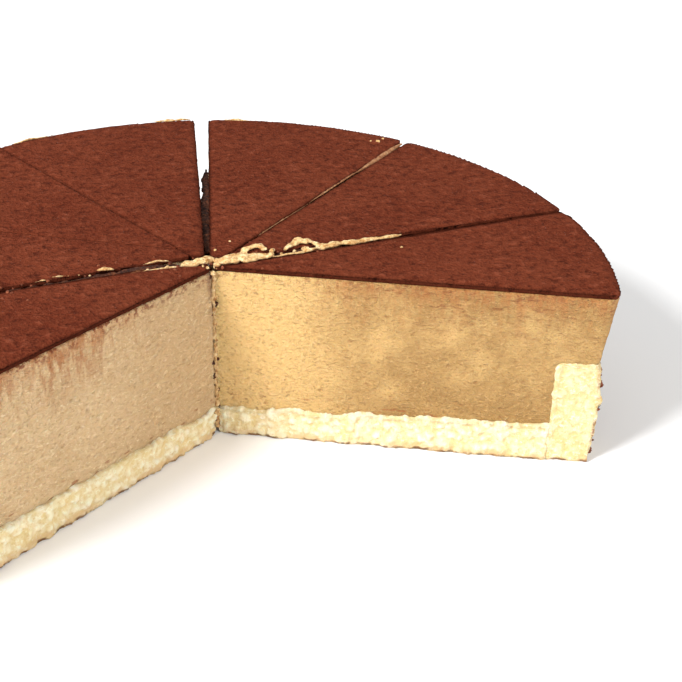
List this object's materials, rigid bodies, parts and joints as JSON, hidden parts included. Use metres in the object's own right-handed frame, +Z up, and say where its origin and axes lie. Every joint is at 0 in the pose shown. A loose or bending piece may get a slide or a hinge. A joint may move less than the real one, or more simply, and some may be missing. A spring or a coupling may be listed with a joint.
{
  "type": "sliced mousse cake with cocoa top",
  "caption": "Round mousse cake on a sponge base with a sponge rim, dusted with cocoa and cut into portions, with a wide gap where portions were taken out.",
  "frame": {"origin": "middle of the object's box, on the surface that the cake stands on; the cake's own axis is 32.4 mm from it, towards -Y", "axes": "+Z up, -Y towards the open gap where portions were taken out, +X along the cake's full width"},
  "size_m": [0.26, 0.1952, 0.064],
  "materials": {
    "cocoa": "dry matt cocoa powder",
    "mousse": "soft matt mousse with fine pores",
    "sponge": "open matt sponge crumb",
    "rim_sponge": "matt sponge with piped dark chocolate lines"
  },
  "bodies": {
    "root": {"slice_1_base": "sponge", "slice_1_rim": "rim_sponge", "slice_1_filling": "mousse", "slice_1_cocoa": "cocoa", "slice_2_base": "sponge", "slice_2_rim": "rim_sponge", "slice_2_filling": "mousse", "slice_2_cocoa": "cocoa", "slice_3_base": "sponge", "slice_3_rim": "rim_sponge", "slice_3_filling": "mousse", "slice_3_cocoa": "cocoa", "slice_4_base": "sponge", "slice_4_rim": "rim_sponge", "slice_4_filling": "mousse", "slice_4_cocoa": "cocoa", "slice_5_base": "sponge", "slice_5_rim": "rim_sponge", "slice_5_filling": "mousse", "slice_5_cocoa": "cocoa", "slice_6_base": "sponge", "slice_6_rim": "rim_sponge", "slice_6_filling": "mousse", "slice_6_cocoa": "cocoa", "slice_7_base": "sponge", "slice_7_rim": "rim_sponge", "slice_7_filling": "mousse", "slice_7_cocoa": "cocoa"}
  },
  "joints": []
}
